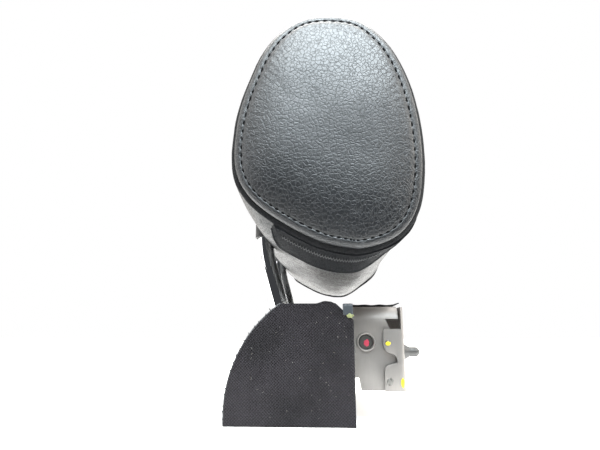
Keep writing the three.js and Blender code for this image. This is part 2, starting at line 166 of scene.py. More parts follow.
# two base colours that a noise mixes, roughness from and to, bump depth in millimetres; the pattern is
# fine and the specular level is 0.5 where nothing is said
finishes = {
    "leatherPanel": {"dark": (0.010, 0.011, 0.013), "light": (0.017, 0.018, 0.021), "rough": (0.32, 0.40),
        "pattern": "pebble", "cell": 2.8, "depth": 0.17, "level": 0.72, "coat": 0.4,
        "calm": (0.165, 0.235)},  # heights between which the grain is pulled flatter
    "leatherWrap": {"dark": (0.011, 0.011, 0.012), "light": (0.020, 0.020, 0.021), "rough": (0.34, 0.46),
        "pattern": "pebble", "cell": 2.4, "depth": 0.1, "level": 0.6},
    "leatherTrim": {"dark": (0.006, 0.0065, 0.008), "light": (0.011, 0.0115, 0.013), "rough": (0.58, 0.7),
        "pattern": "pebble", "cell": 1.8, "depth": 0.08, "level": 0.22},
    "stitchDark": {"dark": (0.004, 0.004, 0.0045), "light": (0.01, 0.01, 0.0105), "rough": (0.85, 0.95),
        "cell": 0.4, "depth": 0.2, "level": 0.12},
    "stitchPale": {"dark": (0.06, 0.062, 0.065), "light": (0.12, 0.12, 0.12), "rough": (0.6, 0.8),
        "cell": 0.4, "depth": 0.2, "level": 0.4},
    "chrome": {"dark": (0.86, 0.87, 0.88), "light": (0.93, 0.935, 0.94), "rough": (0.035, 0.075),
        "cell": 9.0, "depth": 0.01, "metal": 1.0},
    "steelSatin": {"dark": (0.262, 0.244, 0.230), "light": (0.345, 0.323, 0.306), "rough": (0.38, 0.52),
        "pattern": "brushed", "cell": 1.2, "depth": 0.06, "metal": 0.55},
    "steelDark": {"dark": (0.06, 0.057, 0.055), "light": (0.12, 0.115, 0.11), "rough": (0.4, 0.6),
        "cell": 1.4, "depth": 0.1, "metal": 0.7},
    "studSteel": {"dark": (0.085, 0.084, 0.083), "light": (0.14, 0.138, 0.136), "rough": (0.34, 0.5),
        "pattern": "brushed", "cell": 0.8, "depth": 0.08, "metal": 0.6},
    "clothWoven": {"dark": (0.001, 0.001, 0.001), "light": (0.029, 0.0255, 0.030), "rough": (0.8, 0.95),
        "pattern": "weave", "cell": 1.45, "depth": 0.55, "level": 0.25, "sheen": 0.02,
        "valley": -0.9, "crest": 2.2},
    "clothStrip": {"dark": (0.008, 0.008, 0.009), "light": (0.02, 0.019, 0.021), "rough": (0.8, 0.95),
        "cell": 0.7, "depth": 0.5, "level": 0.25, "sheen": 0.06},
    "plasticPale": {"dark": (0.10, 0.103, 0.108), "light": (0.15, 0.152, 0.156), "rough": (0.5, 0.62),
        "cell": 0.9, "depth": 0.1, "level": 0.45},
    "plasticClip": {"dark": (0.045, 0.052, 0.06), "light": (0.09, 0.10, 0.112), "rough": (0.3, 0.45),
        "cell": 1.6, "depth": 0.1},
    "plasticBlack": {"dark": (0.012, 0.012, 0.013), "light": (0.022, 0.022, 0.023), "rough": (0.4, 0.55),
        "cell": 0.6, "depth": 0.12},
    "rubber": {"dark": (0.012, 0.012, 0.012), "light": (0.02, 0.02, 0.02), "rough": (0.7, 0.85),
        "cell": 0.8, "depth": 0.15, "level": 0.3},
    "paintYellow": {"dark": (0.62, 0.50, 0.02), "light": (0.86, 0.72, 0.04), "rough": (0.35, 0.5),
        "cell": 1.0, "depth": 0.2},
    "paintRed": {"dark": (0.42, 0.03, 0.06), "light": (0.62, 0.07, 0.12), "rough": (0.3, 0.5),
        "cell": 0.9, "depth": 0.2},
    "adhesive": {"dark": (0.20, 0.22, 0.08), "light": (0.36, 0.38, 0.18), "rough": (0.25, 0.4),
        "cell": 0.9, "depth": 0.3},
    "weldBead": {"dark": (0.13, 0.125, 0.115), "light": (0.36, 0.35, 0.33), "rough": (0.2, 0.36),
        "cell": 0.7, "depth": 0.35, "metal": 0.85},
    "lint": {"dark": (0.22, 0.21, 0.20), "light": (0.36, 0.34, 0.31), "rough": (0.7, 0.9),
             "cell": 0.5, "depth": 0.1, "level": 0.3},
    "floorPaper": {"dark": (0.88, 0.88, 0.875), "light": (0.92, 0.92, 0.915), "rough": (0.85, 0.95),
        "cell": 60, "depth": 0.01, "level": 0.1, "glow": 0.75},
}
finishes["clothPanel"] = dict(finishes["clothWoven"], pattern="weaveRound")

surface = {
    "toneScale": 38.0, "roughScale": 120.0,  # the slow noises under every finish
    "coatRough": 0.42, "sheenRough": 0.5,
    "glowTint": (1.0, 0.975, 0.935),
    "calmTo": 0.45,  # share of the grain left where it is pulled flat
    "dull": 0.5,  # how much rougher the grain's valleys are
    "brush": (1.0, 1.0, 0.12),
}
pebble = {
    "bendScale": 0.45, "bend": 1.3,  # slow noise that bends the cells, in cells
    "valley": 0.17, "power": 0.6,
    "smallScale": 2.3, "smallValley": 0.16, "smallHeight": 0.22,
}

madeMaterials = {}


def setInputs(node, values):
    for name, value in values.items():
        node.inputs[name].default_value = value


def mathNode(tree, operation, first, second=None):
    node = addNode(tree, "Math")
    node.operation = operation
    for socket, value in zip(node.inputs, (first, second)):
        if value is None:
            continue
        if isinstance(value, (int, float)):
            socket.default_value = value
        else:
            tree.links.new(value, socket)
    return node.outputs[0]


def noiseNode(tree, vector, scale, detail=3.0, distortion=0.0):
    node = addNode(tree, "TexNoise")
    setInputs(node, {"Scale": scale, "Detail": detail, "Distortion": distortion})
    tree.links.new(vector, node.inputs["Vector"])
    return node.outputs["Fac"]


def rangeNode(tree, value, fromLow, fromHigh, toLow, toHigh):
    node = addNode(tree, "MapRange")
    tree.links.new(value, node.inputs["Value"])
    setInputs(node, {"From Min": fromLow, "From Max": fromHigh, "To Min": toLow, "To Max": toHigh})
    return node.outputs["Result"]


def cellEdges(tree, vector, scale):
    node = addNode(tree, "TexVoronoi")
    node.feature = "DISTANCE_TO_EDGE"
    node.inputs["Scale"].default_value = scale
    tree.links.new(vector, node.inputs["Vector"])
    return node.outputs["Distance"]


def pebbleHeight(tree, vector, cell):
    # rounded leather cells with thin valleys, bent by a slow noise
    bend = addNode(tree, "TexNoise")
    bend.inputs["Scale"].default_value = pebble["bendScale"] / (cell * mm)
    tree.links.new(vector, bend.inputs["Vector"])
    shift = addNode(tree, "VectorMath")
    shift.operation = "MULTIPLY_ADD"
    tree.links.new(bend.outputs["Color"], shift.inputs[0])
    shift.inputs[1].default_value = (pebble["bend"] * cell * mm,) * 3
    tree.links.new(vector, shift.inputs[2])
    cells = cellEdges(tree, shift.outputs[0], 1 / (cell * mm))
    small = cellEdges(tree, shift.outputs[0], pebble["smallScale"] / (cell * mm))
    big = rangeNode(tree, cells, 0.0, pebble["valley"], 0.0, 1.0)
    fine = rangeNode(tree, small, 0.0, pebble["smallValley"], 0.0, pebble["smallHeight"])
    return mathNode(tree, "ADD", mathNode(tree, "POWER", big, pebble["power"]), fine)


def weaveHeight(tree, vector, cell, roundTheBack):
    # basket weave on the diagonal: over and under change at every crossing
    split = addNode(tree, "SeparateXYZ")
    tree.links.new(vector, split.inputs[0])
    x, y, z = split.outputs
    along = mathNode(tree, "ADD", x, z) if roundTheBack else x
    across = y if roundTheBack else z
    turn = pi / (cell * mm * sqrt(2))
    crown = 0.7
    u = mathNode(tree, "SINE", mathNode(tree, "MULTIPLY", mathNode(tree, "ADD", along, across), turn))
    v = mathNode(tree, "SINE", mathNode(tree, "MULTIPLY", mathNode(tree, "SUBTRACT", along, across), turn))
    over = mathNode(tree, "GREATER_THAN", mathNode(tree, "MULTIPLY", u, v), 0.0)
    under = mathNode(tree, "SUBTRACT", 1.0, over)
    warp = mathNode(tree, "MULTIPLY", mathNode(tree, "ABSOLUTE", u), over)
    weft = mathNode(tree, "MULTIPLY", mathNode(tree, "ABSOLUTE", v), under)
    return mathNode(tree, "POWER", mathNode(tree, "ADD", warp, weft), crown)


def stretched(tree, vector, factors):
    node = addNode(tree, "VectorMath")
    node.operation = "MULTIPLY"
    tree.links.new(vector, node.inputs[0])
    node.inputs[1].default_value = factors
    return node.outputs[0]


def material(name):
    if name in madeMaterials:
        return madeMaterials[name]
    spec = finishes[name]
    made = bpy.data.materials.new(name)
    made.use_nodes = True
    tree = made.node_tree
    link = tree.links.new
    shader = next(n for n in tree.nodes if n.type == "BSDF_PRINCIPLED")
    coord = addNode(tree, "TexCoord").outputs["Object"]
    cell = spec["cell"]
    pattern = spec.get("pattern", "fine")
    if pattern == "pebble":
        height = cellTops = pebbleHeight(tree, coord, cell)
        if "calm" in spec:
            split = addNode(tree, "SeparateXYZ")
            link(coord, split.inputs[0])
            calm = rangeNode(tree, split.outputs["Z"], *spec["calm"], 1.0, surface["calmTo"])
            height = mathNode(tree, "MULTIPLY", height, calm)
    elif pattern.startswith("weave"):
        height = weaveHeight(tree, coord, cell, pattern == "weaveRound")
    elif pattern == "brushed":
        height = noiseNode(tree, stretched(tree, coord, surface["brush"]), 1 / (cell * mm), 5.0)
    else:
        height = noiseNode(tree, coord, 1 / (cell * mm), 5.0)
    slow = noiseNode(tree, coord, surface["toneScale"], 4.0, 0.4)
    relief = rangeNode(tree, height, 0.0, 1.0, spec.get("valley", 0.55), spec.get("crest", 1.25))
    tone = mathNode(tree, "MULTIPLY", slow, relief)
    mix = addNode(tree, "Mix")
    mix.data_type = "RGBA"
    for socket, colour in (("A", "dark"), ("B", "light")):
        mix.inputs[socket].default_value = (*spec[colour], 1)
    link(tone, mix.inputs["Factor"])
    link(mix.outputs["Result"], shader.inputs["Base Color"])
    rough = rangeNode(tree, noiseNode(tree, coord, surface["roughScale"], 4.0), 0.3, 0.7, *spec["rough"])
    if pattern == "pebble":  # the valleys between the cells are duller than their tops
        dull = mathNode(tree, "MULTIPLY", mathNode(tree, "SUBTRACT", 1.0, cellTops), surface["dull"])
        rough = mathNode(tree, "ADD", rough, mathNode(tree, "MAXIMUM", dull, 0.0))
    link(rough, shader.inputs["Roughness"])
    bump = addNode(tree, "Bump")
    setInputs(bump, {"Strength": 1.0, "Distance": spec["depth"] * mm})
    link(height, bump.inputs["Height"])
    link(bump.outputs["Normal"], shader.inputs["Normal"])
    setInputs(shader, {"Metallic": spec.get("metal", 0.0), "Specular IOR Level": spec.get("level", 0.5)})
    if "glow" in spec:
        setInputs(shader, {"Emission Color": (*surface["glowTint"], 1), "Emission Strength": spec["glow"]})
    if "coat" in spec:
        setInputs(shader, {"Coat Weight": spec["coat"], "Coat Roughness": surface["coatRough"]})
    if "sheen" in spec:
        setInputs(shader, {"Sheen Weight": spec["sheen"], "Sheen Roughness": surface["sheenRough"]})
    madeMaterials[name] = made
    return made


# mesh helpers, all in millimetres

def makePiece(name, points, faces, finish, sharp=None):
    mesh = bpy.data.meshes.new(name)
    mesh.from_pydata([tuple(c * mm for c in p) for p in points], [], faces)
    mesh.update()
    turned = bmesh.new()
    turned.from_mesh(mesh)
    bmesh.ops.recalc_face_normals(turned, faces=turned.faces)
    turned.to_mesh(mesh)
    turned.free()
    mesh.shade_smooth()
    if sharp:
        mesh.set_sharp_from_angle(angle=radians(sharp))
    mesh.materials.append(material(finish))
    obj = bpy.data.objects.new(name, mesh)
    bpy.context.scene.collection.objects.link(obj)
    return obj


def ringFaces(rings, around, closed=True):
    faces = []
    last = around if closed else around - 1
    for r in range(rings - 1):
        low, high = r * around, (r + 1) * around
        for i in range(last):
            j = (i + 1) % around
            faces.append((low + i, low + j, high + j, high + i))
    return faces


def cappedFaces(rings, around):
    # a tube of rings with a flat face at each end
    last = rings * around - 1
    return ringFaces(rings, around) + [tuple(range(around)), tuple(range(last, last - around, -1))]


def sheetFaces(columns, rows):
    # two grids of points, the second under the first, joined round their rim
    faces = ringFaces(columns, rows, False)
    base = columns * rows
    faces += [tuple(base + v for v in reversed(f)) for f in faces]
    rim = [(0, r) for r in range(rows)] + [(c, rows - 1) for c in range(1, columns)]
    rim += [(columns - 1, r) for r in range(rows - 2, -1, -1)] + [(c, 0) for c in range(columns - 2, 0, -1)]
    loop = [c * rows + r for c, r in rim]
    for k in range(len(loop)):
        a, b = loop[k], loop[(k + 1) % len(loop)]
        faces.append((a, b, base + b, base + a))
    return faces


def tubeMesh(path, radius, sides=10, closed=False):
    # a round bar along the path, flat at its ends; radius is a number or one for each point
    path = [Vector(p) for p in path]
    count = len(path)
    radii = [radius] * count if isinstance(radius, (int, float)) else list(radius)
    points, normal = [], None
    for i, here in enumerate(path):
        before = path[i - 1] if i or closed else here
        after = path[(i + 1) % count] if i < count - 1 or closed else here
        ahead = (after - before).normalized()
        if normal is None:
            guide = Vector((0, 1, 0)) if abs(ahead.y) < 0.8 else Vector((1, 0, 0))
            normal = guide.cross(ahead).normalized()
        normal = (normal - ahead * normal.dot(ahead)).normalized()
        other = ahead.cross(normal)
        for s in range(sides):
            angle = 2 * pi * s / sides
            points.append(here + (normal * cos(angle) + other * sin(angle)) * radii[i])
    if not closed:
        return points, cappedFaces(count, sides)
    low = (count - 1) * sides
    faces = ringFaces(count, sides)
    return points, faces + [(low + s, low + (s + 1) % sides, (s + 1) % sides, s) for s in range(sides)]


def joinMeshes(parts):
    points, faces = [], []
    for partPoints, partFaces in parts:
        base = len(points)
        points += list(partPoints)
        faces += [tuple(base + i for i in face) for face in partFaces]
    return points, faces


def wobble(x, y, z, scale, seed=0.0):
    return noise.noise(Vector((x * scale + seed, y * scale - seed, z * scale + 0.37 * seed)))


def wave(spec, x, y, z):
    # soft unevenness, told as its amount, scale and seed
    amount, scale, seed = spec
    return amount * wobble(x, y, z, scale, seed)


def bell(value, middle, width):
    return exp(-((value - middle) / width) ** 2)


def smoothStep(low, high, value):
    t = min(max((value - low) / (high - low), 0.0), 1.0)
    return t * t * (3 - 2 * t)


def finerCopy(node, finish, body, width=0.35, sharp=32):
    # the frame's own shape with its corners rounded, standing in for the node
    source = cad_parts[node]
    work = bmesh.new()
    work.from_mesh(source.data)
    bmesh.ops.remove_doubles(work, verts=work.verts, dist=2e-6)
    bmesh.ops.dissolve_limit(work, angle_limit=radians(0.6), verts=work.verts, edges=work.edges)
    edges = [e for e in work.edges if len(e.link_faces) == 2 and e.calc_face_angle(0) > radians(sharp)]
    if width:
        bmesh.ops.bevel(work, geom=edges, offset=width * mm, segments=2, profile=0.6, affect="EDGES",
                        clamp_overlap=True)
    bmesh.ops.triangulate(work, faces=[f for f in work.faces if len(f.verts) > 4])
    mesh = bpy.data.meshes.new("fine_" + node)
    work.to_mesh(mesh)
    work.free()
    mesh.shade_smooth()
    mesh.set_sharp_from_angle(angle=radians(sharp))
    mesh.materials.append(material(finish))
    obj = bpy.data.objects.new("fine_" + node, mesh)
    bpy.context.scene.collection.objects.link(obj)
    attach(obj, body)
    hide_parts(node)
    return obj


def makeFloor():
    side, front, back = floorSheet["side"], floorSheet["front"], floorSheet["back"]
    steps = floorSheet["steps"]
    points = []
    for i in range(steps + 1):
        for j in range(steps + 1):
            x = (-1 + 2 * i / steps) * side
            points.append((x / mm, (front + (back - front) * j / steps) / mm, floorSheet["height"] / mm))
    obj = makePiece("floor", points, ringFaces(steps + 1, steps + 1, False), "floorPaper")


makeFloor()


pad = {
    "back": -120.5, "depth": 133.0, "bottom": 51.0, "height": 190.0,
    # the end's outline as shares of half the depth and height, clockwise from the top
    "form": [(0.06, 1.0), (0.39, 0.947), (0.647, 0.762), (0.82, 0.525), (0.932, 0.256), (0.998, -0.113),
             (0.97, -0.488), (0.833, -0.715), (0.618, -0.884), (0.316, -0.995), (0, -0.974), (-0.316, -0.879),
             (-0.617, -0.747), (-0.842, -0.562), (-0.974, -0.335), (-0.992, -0.092), (-0.902, 0.224),
             (-0.759, 0.541), (-0.511, 0.836), (-0.241, 0.974)],
    "around": 960,
    "wrapEnd": 114.0,  # second seam, from the middle
    "panelSeam": 118.2,  # first seam
    # how far the topstitch and the wrap lie inside the outline, clockwise from the top
    "stitchIn": [4.6, 4.8, 4.8, 4.1, 4.3, 4.6, 5.0, 5.4, 6.0, 6.5, 7.5, 7.9, 8.3, 12.0, 17.4, 20.8,
                 21.0, 20.1, 19.8, 19.7, 17.0, 13.0, 9.5, 7.9, 6.9, 4.9, 4.7, 5.4, 4.0, 4.2, 4.4, 4.5],
    "wrapIn": [-5.0, -4.6, -4.2, -3.8, -4.0, -4.2, -4.2, -4.0, -3.6, -2.8, -1.4, 0.8, 3.2, 4.8, 4.2, 2.6,
               1.6, 1.4, 1.6, 2.2, 2.6, 2.0, 1.0, -0.4, -2.0, -3.2, -4.0, -4.0, -3.8, -3.8, -4.2, -4.8],
    "wrapMesh": (74, 480),
    "wrapSpread": 0.72,  # crowds the wrap's rings towards its ends
    "wrapSag": (0.5, 0.028, 3.1), "wrapPull": (0.16, 0.12, 8.0),
    "rollIn": 20.0,  # length over which the wrap turns in to its seam
    "rollPower": 2.1,
    "boxingSide": 2.6,  # width of the strip between the seams, seen from the end
    "boxingLow": 3.6,
    # across the strip: distance from the second seam, share of the width, inset of its puff
    "boxing": [(-0.9, 0.0, 1.0), (-0.25, 0.0, 0.35), (0.15, 0.03, 0.0), (0.6, 0.14, -0.25),
               (1.6, 0.38, -0.55),
               (2.6, 0.64, -0.5), (3.5, 0.87, -0.2), (4.0, 0.97, 0.15), (4.25, 1.0, 0.6), (3.4, 1.0, 1.6)],
    "boxingSoft": (0.12, 0.2, 5.5),
    "hem": 5.2,  # from the first seam in to the topstitch
    "hemRise": 2.55,
    "hemFall": 1.9,  # how far the first seam drops back underneath
    "hemSoft": (0.12, 0.09, 2.2),
    # the hem's outer roll: inset from the first seam, height over it
    "roll": [(1.1, -0.9), (0.45, -0.3), (0.12, 0.2), (0.15, 0.65), (0.5, 1.1), (1.1, 1.5), (1.9, 1.85),
             (2.8, 2.15)],
    "dip": (0.03, 0.36),  # the valley between two stitches and in one
    "dipWidth": 0.85,
    "crown": 7.4,  # dome above the topstitch
    "crownTurn": (2.3, 4.0),  # how tightly the dome turns down at its edge, at the top and underneath
    "crownRings": 34,
    "pucker": 0.14,
    "crownSoft": (0.35, 0.03, 4.0), "crownFine": (0.1, 0.16, 6.0), "crownFineFrom": (120, 215),
    "stitch": 6.0,  # topstitch pitch, and the share of the outline that its line measures
    "stitchShare": 0.94,
    "stitchLength": 3.5,
    "threadRadius": 0.5, "threadSunk": 0.52, "threadArch": 0.22,
}


def evenOutline(count, fineness=60, reach=4):
    # closed centripetal curve through the form's points, evenly spaced, with outward normals
    knots = [np.array((pad["back"] + pad["depth"] / 2 * (1 + u), pad["bottom"] + pad["height"] / 2 * (1 + v)))
             for u, v in pad["form"]]
    total = len(knots)
    dense = []

    def between(low, high, at, first, second):
        return (high - at) / (high - low) * first + (at - low) / (high - low) * second

    for i in range(total):
        p = [knots[(i + k - 1) % total] for k in range(4)]
        t = [0.0]
        for k in range(3):
            t.append(t[-1] + np.linalg.norm(p[k + 1] - p[k]) ** 0.5)
        for s in range(fineness):
            at = t[1] + (t[2] - t[1]) * s / fineness
            a = [between(t[k], t[k + 1], at, p[k], p[k + 1]) for k in range(3)]
            b = [between(t[k], t[k + 2], at, a[k], a[k + 1]) for k in range(2)]
            dense.append(between(t[1], t[2], at, b[0], b[1]))
    dense = np.array(dense + [dense[0]])
    runs = np.concatenate(([0], np.cumsum(np.linalg.norm(np.diff(dense, axis=0), axis=1))))
    stations = np.linspace(0, runs[-1], count, endpoint=False)
    line = np.stack([np.interp(stations, runs, dense[:, k]) for k in range(2)], axis=1)
    tangent = np.roll(line, -reach, axis=0) - np.roll(line, reach, axis=0)
    tangent /= np.linalg.norm(tangent, axis=1)[:, None]
    outward = np.stack([-tangent[:, 1], tangent[:, 0]], axis=1)
    if np.dot(outward[0], line[0] - line.mean(axis=0)) < 0:
        outward = -outward
    return line, outward, runs[-1]


padLine, padOut, padGirth = evenOutline(pad["around"])
padMiddle = padLine.mean(axis=0)


def lowness(i):
    # 0 at the sides and top, 1 underneath, a little more towards the back
    nx, nz = padOut[i]
    return smoothStep(0.1, 0.9, -(nz * 0.95 + nx * 0.32))


def aroundTable(name):
    # a table of even stations, smoothed into one value for each point of the outline
    table, around = pad[name], pad["around"]
    step = around // len(table)
    raw = np.interp(np.arange(around), np.arange(len(table) + 1) * step, table + table[:1])
    reach = step // 2
    return np.mean([np.roll(raw, k) for k in range(-reach, reach + 1)], axis=0)


stitchIn = aroundTable("stitchIn")
wrapIn = aroundTable("wrapIn")


def turnedDown(i):
    # 0 on top, 1 underneath and behind
    nx, nz = padOut[i]
    return smoothStep(-0.4, 0.9, -nz - 0.35 * nx)


def boxingWidth(i):
    low = lowness(i)
    return pad["boxingSide"] * (1 - low) + pad["boxingLow"] * low


def panelStart(i):
    return stitchIn[i] - pad["hem"]


def seamInset(i):
    return panelStart(i) - boxingWidth(i)


def padPoint(i, inset, y):
    x, z = padLine[i] - padOut[i] * inset
    return (x, y, z)


def wrapInset(i, reach):
    # inset of the wrap at a distance from the pad's middle
    roll = max(0.0, reach - (pad["wrapEnd"] - pad["rollIn"])) / pad["rollIn"]
    return wrapIn[i] + (seamInset(i) - wrapIn[i]) * roll ** pad["rollPower"]


def makeWrap():
    rings, around = pad["wrapMesh"]
    step = pad["around"] // around
    points = []
    for r in range(rings):
        part = -1 + 2 * r / (rings - 1)
        y = copysign(abs(part) ** pad["wrapSpread"], part) * pad["wrapEnd"]
        for a in range(around):
            i = a * step
            x, z = padLine[i]
            inset = wrapInset(i, abs(y))
            inset += wave(pad["wrapSag"], x, y, z) + wave(pad["wrapPull"], x, y * 0.35, z)
            points.append(padPoint(i, inset, y))
    obj = makePiece("pad_wrap", points, cappedFaces(rings, around), "leatherWrap", sharp=50)
    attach(obj, "head")
    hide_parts("wrap_band", "foam_core")


def makeBoxing(side, label):
    # the narrow strip between the two seams, pinched at both
    gap = pad["panelSeam"] - pad["wrapEnd"]
    points = []
    for y, share, puff in pad["boxing"]:
        for i in range(pad["around"]):
            x, z = padLine[i]
            start, end = seamInset(i), panelStart(i)
            inset = start + (end - start) * share + puff + wave(pad["boxingSoft"], x, y, z)
            back = pad["hemFall"] * turnedDown(i) * max(y, 0.0) / gap
            points.append(padPoint(i, inset, side * (pad["wrapEnd"] + y - back)))
    faces = ringFaces(len(pad["boxing"]), pad["around"])
    obj = makePiece("boxing_" + label, points, faces, "leatherTrim")
    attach(obj, "head")
    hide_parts("welt_" + label)


def hemPoints(side, stitches):
    # rings from the first seam over the hem and its stitched valley to the foot of the dome
    hem, rise = pad["hem"], pad["hemRise"]
    between, inStitch = pad["dip"]
    edge = pad["roll"] + [(3.6, rise - 0.18), (4.2, rise - 0.1), (4.6, rise - 0.12), (4.85, rise - 0.2),
                          (hem, rise - 0.26), (hem + 0.15, rise - 0.22), (hem + 0.4, rise - 0.08),
                          (hem + 0.8, rise + 0.18), (hem + 1.4, rise + 0.5), (hem + 2.8, rise + 1.15)]
    points = []
    for inset, y in edge:
        near = bell(inset, hem, pad["dipWidth"])
        for i in range(pad["around"]):
            x, z = padLine[i]
            dash = sin(pi * i / pad["around"] * stitches) ** 2
            dip = (between - inStitch * dash ** 2) * near
            soft = wave(pad["hemSoft"], x, inset, z)
            back = pad["hemFall"] * turnedDown(i) * max(rise - y, 0.0) / rise
            out = pad["panelSeam"] + y + dip + soft - back
            points.append(padPoint(i, panelStart(i) + inset, side * out))
    return points, edge[-1]


def makePanel(side, label, stitches):
    around, rings = pad["around"], pad["crownRings"]
    points, (foot, height) = hemPoints(side, stitches)
    base = np.array([padPoint(i, panelStart(i) + foot, 0.0) for i in range(around)])
    loose, tight = pad["crownTurn"]
    for r in range(1, rings):
        share = (r / (rings - 1)) ** 1.15 * 0.985
        for i in range(around):
            turn = loose + (tight - loose) * turnedDown(i)
            lift = pad["crown"] * (1 - (1 - share) ** turn)
            x = base[i][0] + (padMiddle[0] - base[i][0]) * share
            z = base[i][2] + (padMiddle[1] - base[i][2]) * share
            pucker = exp(-share * 9) * cos(pi * i / around * stitches) ** 2
            soft = wave(pad["crownSoft"], x, 0, z)
            soft += wave(pad["crownFine"], x * 1.6, 0, z * 0.45) * smoothStep(*pad["crownFineFrom"], z)
            y = pad["panelSeam"] + height + lift + pad["pucker"] * pucker + soft * min(1.0, share * 5)
            points.append((x, side * y, z))
    faces = ringFaces(len(points) // around, around)
    middle = len(points)
    last = middle - around
    top = np.mean([abs(p[1]) for p in points[last:]]) + 0.02
    points.append((padMiddle[0], side * top, padMiddle[1]))
    faces += [(last + i, last + (i + 1) % around, middle) for i in range(around)]
    obj = makePiece("panel_" + label, points, faces, "leatherPanel")
    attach(obj, "head")
    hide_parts("end_panel_" + label)


def makeTopstitch(side, label, stitches, samples=7):
    # one short thread bead between each pair of holes, sunk in its valley
    height = pad["panelSeam"] + pad["hemRise"] - pad["threadSunk"]
    parts = []
    for s in range(stitches):
        path, radii = [], []
        for k in range(samples):
            part = k / (samples - 1)
            phase = s + 0.5 + (part - 0.5) * pad["stitchLength"] / pad["stitch"]
            i = int(round(phase / stitches * pad["around"])) % pad["around"]
            arch = sin(pi * part)
            path.append(padPoint(i, panelStart(i) + pad["hem"], side * (height + pad["threadArch"] * arch)))
            radii.append(pad["threadRadius"] * (0.45 + 0.55 * arch ** 0.5))
        parts.append(tubeMesh(path, radii, 8))
    obj = makePiece("topstitch_" + label, *joinMeshes(parts), "stitchDark")
    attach(obj, "head")


flap = {
    "fromX": -97.0, "toX": 6.0,
    "reach": 16.0,  # from the second seam back to the hem
    "narrow": (0.25, 0.12),  # width left at its back and front end
    "lift": 0.75, "clear": 0.15, "buried": 0.5,
    "hemRoll": 0.85,
    "fold": 0.9,  # crease near its back end
    "soft": (0.16, 0.16, 1.0),
    "columns": 26,
    "zigzag": 2.6, "zigzagWidth": 2.2, "zigzagFrom": 2.2,
    "zigzagRun": (0.09, 0.74),
    "threadRadius": 0.24, "threadOver": 0.16, "threadArch": 0.22,
}


def flapStations():
    # outline stations underneath, from the back forward
    high = pad["bottom"] + pad["height"] * 0.45
    chosen = [i for i in range(pad["around"]) if padOut[i][1] < 0.1 and padLine[i][1] < high
              and flap["fromX"] <= padLine[i][0] <= flap["toX"]]
    return sorted(chosen, key=lambda i: padLine[i][0])


def flapWidth(share):
    first, last = flap["narrow"]
    widening = first + (1 - first) * smoothStep(0.0, 0.10, share)
    return flap["reach"] * widening * (1 - (1 - last) * smoothStep(0.55, 0.97, share))


def makeFlap(side, label):
    stations = flapStations()
    count = len(stations)
    columns = flap["columns"]
    top, under = [], []
    for c in range(columns):
        part = c / (columns - 1)
        for n, i in enumerate(stations):
            share = n / (count - 1)
            reach = pad["wrapEnd"] + 0.3 - flapWidth(share) * part
            x, z = padLine[i]
            roll = flap["hemRoll"] * bell(part, 0.93, 0.06) * (1 - smoothStep(0.8, 1.0, share))
            edge = 1 - smoothStep(0.93, 1.0, part)
            ends = smoothStep(0.0, 0.02, share) * (1 - smoothStep(0.9, 1.0, share))
            rise = flap["clear"] + flap["lift"] * edge * ends + roll + wave(flap["soft"], x, reach, z)
            rise += flap["fold"] * bell(share, 0.035, 0.018) * (1 - part * 0.6)
            body = wrapInset(i, min(reach, pad["wrapEnd"]))
            top.append(padPoint(i, body - rise, side * reach))
            under.append(padPoint(i, body + flap["buried"], side * reach))
    obj = makePiece("closing_flap_" + label, top + under, sheetFaces(columns, count), "leatherTrim", sharp=55)
    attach(obj, "head")
    return obj


def makeZigzag(side, label, samples=5):
    stations = flapStations()
    count = len(stations)
    at, high = (int(count * share) for share in flap["zigzagRun"])
    pitch = max(2, int(round(flap["zigzag"] / (padGirth / pad["around"]) / 2)))
    shares = [k / (samples - 1) for k in range(samples)]
    radii = [flap["threadRadius"] * (0.5 + 0.5 * sin(pi * (0.1 + 0.8 * part))) for part in shares]
    parts = []
    while at + pitch < high:
        path = []
        for part in shares:
            i = stations[int(round(at + pitch * part))]
            across = part if len(parts) % 2 == 0 else 1 - part
            reach = pad["wrapEnd"] - flap["zigzagFrom"] - flap["zigzagWidth"] * across
            over = flap["lift"] + flap["threadOver"] + flap["threadArch"] * sin(pi * part)
            path.append(padPoint(i, wrapInset(i, reach) - over, side * reach))
        parts.append(tubeMesh(path, radii, 7))
        at += pitch
    obj = makePiece("zigzag_" + label, *joinMeshes(parts), "stitchPale")
    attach(obj, "head")


ends = ((-1, "near"), (1, "far"))
stitchCount = round(padGirth * pad["stitchShare"] / pad["stitch"])
makeWrap()
for side, label in ends:
    makeBoxing(side, label)
    makePanel(side, label, stitchCount)
    makeTopstitch(side, label, stitchCount)
    flapPiece = makeFlap(side, label)
    if label == "near":
        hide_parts("underside_flap")
    makeZigzag(side, label)
print("pad made:", stitchCount, "stitches round each end")


posts = {
    "radius": 6.0,
    "half": 58.5,  # half the distance between the two legs
    "knee": (-102.4, 76.8),
    "lean": 15.6,  # degrees, below the knee
    "innerLean": 14.0,  # and inside the pad
    "tube": -20.0,  # height of the carriage tube
    "footAboveTube": 8.2,
    "kneeAboveCollar": 9.5,
    "crossbarRise": 57.0,
    "bends": (14.0, 9.0, 20.0),
}


def roundedPath(corners, bends, steps=14):
    # straight runs joined by smooth bends
    path = [Vector(corners[0])]
    for i in range(1, len(corners) - 1):
        here, before, after = Vector(corners[i]), Vector(corners[i - 1]), Vector(corners[i + 1])
        into = here + (before - here).normalized() * bends[i - 1]
        out = here + (after - here).normalized() * bends[i - 1]
        for k in range(steps + 1):
            t = k / steps
            path.append(into * (1 - t) ** 2 + here * 2 * t * (1 - t) + out * t ** 2)
    path.append(Vector(corners[-1]))
    return path


